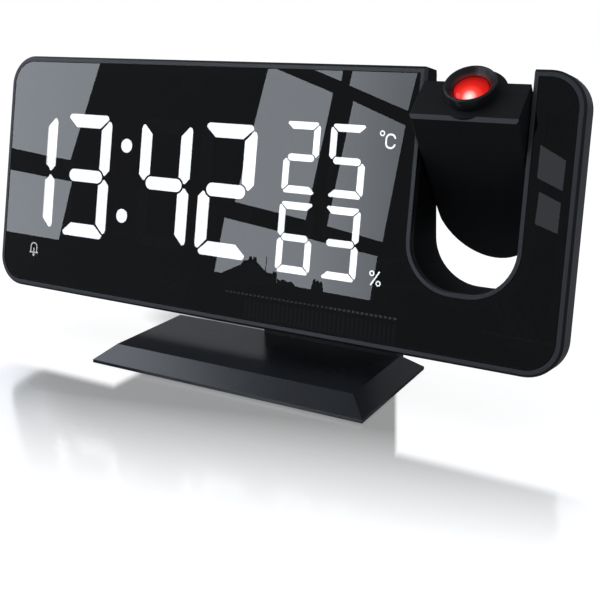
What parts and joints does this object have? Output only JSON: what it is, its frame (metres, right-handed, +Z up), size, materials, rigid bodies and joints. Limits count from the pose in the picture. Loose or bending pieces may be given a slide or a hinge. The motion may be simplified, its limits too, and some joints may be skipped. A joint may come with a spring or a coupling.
{
  "type": "projection alarm clock",
  "caption": "Bedside projection alarm clock with a leaning mirror display on a low base; a projector arm with a focus ring tilts in a U-shaped notch.",
  "frame": {"origin": "middle of the base's underside, on the surface it stands on", "axes": "+Z up, +X to the right of someone who reads the display, the display faces -Y"},
  "size_m": [0.1914, 0.0485, 0.0942],
  "materials": {
    "case": "fine satin moulded black plastic",
    "mirror_panel": "polished smoked half-mirror acrylic",
    "black_film": "matt black print",
    "diffuser": "milky diffuser, lit white",
    "dark_diffuser": "smoked diffuser, unlit",
    "board": "green solder mask",
    "chip": "black moulded chip",
    "led": "phosphor in a white frame",
    "steel": "plated steel",
    "key": "satin black moulded key",
    "speaker_cone": "black treated paper and frame",
    "spring_metal": "gold-plated spring strip",
    "painted_steel": "black paint on steel sheet",
    "rubber": "black rubber",
    "lens_red": "red-lit polished lens",
    "clear_lens": "polished clear lens",
    "red_led": "red LED dome"
  },
  "bodies": {
    "root": {"front_bezel": "case", "mirror_panel": "mirror_panel", "display_mask": "black_film", "display_reflector": "black_film", "lit_segments": "diffuser", "unlit_segments": "dark_diffuser", "display_leds": "led", "display_board": "board", "key_switches": "steel", "rear_shell": "case", "shell_screws": "steel", "main_board": "board", "main_chips": "chip", "speaker": "speaker_cone", "speaker_grille": "case", "power_board": "board", "power_socket": "chip", "charging_socket": "steel", "temperature_sensor": "board", "coin_cell": "steel", "cell_spring": "spring_metal", "cell_clip": "spring_metal", "stand_upright": "case", "stand_screws": "steel", "base_shell": "case", "base_weight": "steel", "base_plate": "painted_steel", "base_screws": "steel", "rubber_mat": "rubber"},
    "arm": {"arm_front_shell": "case", "arm_rear_shell": "case", "arm_screws": "steel", "axle_left": "steel", "axle_right": "steel", "axle_washers": "steel", "lens_barrel": "key", "condenser_lens": "clear_lens", "picture_slide": "lens_red", "projector_led": "red_led", "led_board": "board"},
    "focus_ring": {"focus_ring": "case"},
    "lens": {"lens_cell": "key", "projection_lens": "lens_red"},
    "battery_cover": {"battery_cover": "case"},
    "key_mode": {"key_mode": "key"},
    "key_up": {"key_up": "key"},
    "key_down": {"key_down": "key"},
    "key_snooze": {"key_snooze": "key"},
    "key_alarm": {"key_alarm": "key"},
    "key_radio": {"key_radio": "key"},
    "key_projector": {"key_projector": "key"}
  },
  "joints": [
    {"name": "arm_tilt", "type": "hinge", "parent": "root", "child": "arm", "pos_m": [0.06765, 0.00766, 0.07436], "axis": [1, 0, 0], "range_deg": [-128, 52]},
    {"name": "focus_turn", "type": "hinge", "parent": "arm", "child": "focus_ring", "pos_m": [0.06765, -0.00396, 0.08736], "axis": [0, -0.6157, 0.788], "range_deg": [-110, 110]},
    {"name": "lens_focus", "type": "slide", "parent": "arm", "child": "lens", "axis": [0, -0.6157, 0.788], "range_m": [-0.0006, 0.0006]},
    {"name": "battery_cover_turn", "type": "hinge", "parent": "root", "child": "battery_cover", "pos_m": [-0.027, 0.01269, 0.03778], "axis": [0, 0.9976, 0.0698], "range_deg": [0, 35]},
    {"name": "key_mode_press", "type": "slide", "parent": "root", "child": "key_mode", "axis": [0, -0.9976, -0.0698], "range_m": [0, 0.0006], "stiffness_N_per_m": 300, "springref_m": -0.0005},
    {"name": "key_up_press", "type": "slide", "parent": "root", "child": "key_up", "axis": [0, -0.9976, -0.0698], "range_m": [0, 0.0006], "stiffness_N_per_m": 300, "springref_m": -0.0005},
    {"name": "key_down_press", "type": "slide", "parent": "root", "child": "key_down", "axis": [0, -0.9976, -0.0698], "range_m": [0, 0.0006], "stiffness_N_per_m": 300, "springref_m": -0.0005},
    {"name": "key_snooze_press", "type": "slide", "parent": "root", "child": "key_snooze", "axis": [0, -0.9976, -0.0698], "range_m": [0, 0.0006], "stiffness_N_per_m": 300, "springref_m": -0.0005},
    {"name": "key_alarm_press", "type": "slide", "parent": "root", "child": "key_alarm", "axis": [0, -0.9976, -0.0698], "range_m": [0, 0.0006], "stiffness_N_per_m": 300, "springref_m": -0.0005},
    {"name": "key_radio_press", "type": "slide", "parent": "root", "child": "key_radio", "axis": [0, -0.9976, -0.0698], "range_m": [0, 0.0006], "stiffness_N_per_m": 300, "springref_m": -0.0005},
    {"name": "key_projector_press", "type": "slide", "parent": "root", "child": "key_projector", "axis": [0, -0.9976, -0.0698], "range_m": [0, 0.0006], "stiffness_N_per_m": 300, "springref_m": -0.0005}
  ],
  "couplings": [
    {"joint": "focus_turn", "follows": "lens_focus", "rad_per_m": 3199.8}
  ]
}
